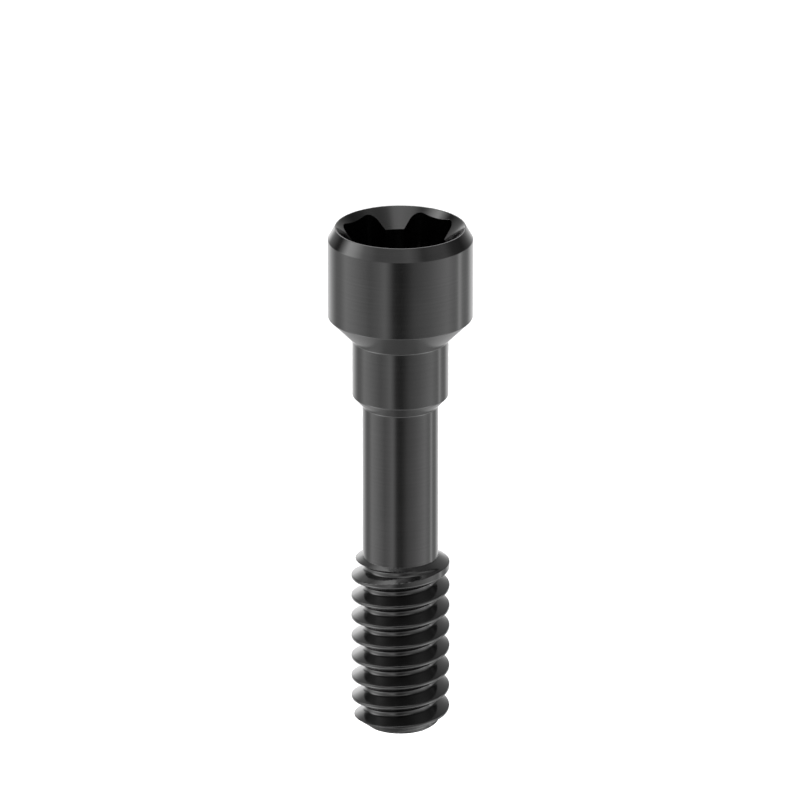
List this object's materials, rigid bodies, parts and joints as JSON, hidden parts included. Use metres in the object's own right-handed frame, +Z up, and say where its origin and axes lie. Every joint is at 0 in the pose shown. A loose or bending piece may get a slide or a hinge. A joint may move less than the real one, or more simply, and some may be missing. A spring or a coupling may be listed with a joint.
{
  "type": "dental abutment screw",
  "caption": "Turned titanium screw with a cylindrical head, lobed driver socket, conical seat, guide collar, slim shank and short metric thread.",
  "frame": {"origin": "centre of the underside of the box round the lying screw, on the floor that it rests on", "axes": "+X along the screw from its free end to its head, +Z up. The screw lies on its first full thread and the edge of its head, so its own axis rises by 3.20 degrees towards the head."},
  "size_m": [0.0086, 0.0024, 0.0024],
  "materials": {
    "coated_titanium": "satin dark coating on turned titanium"
  },
  "bodies": {
    "root": {"abutment_screw": "coated_titanium"}
  },
  "joints": []
}
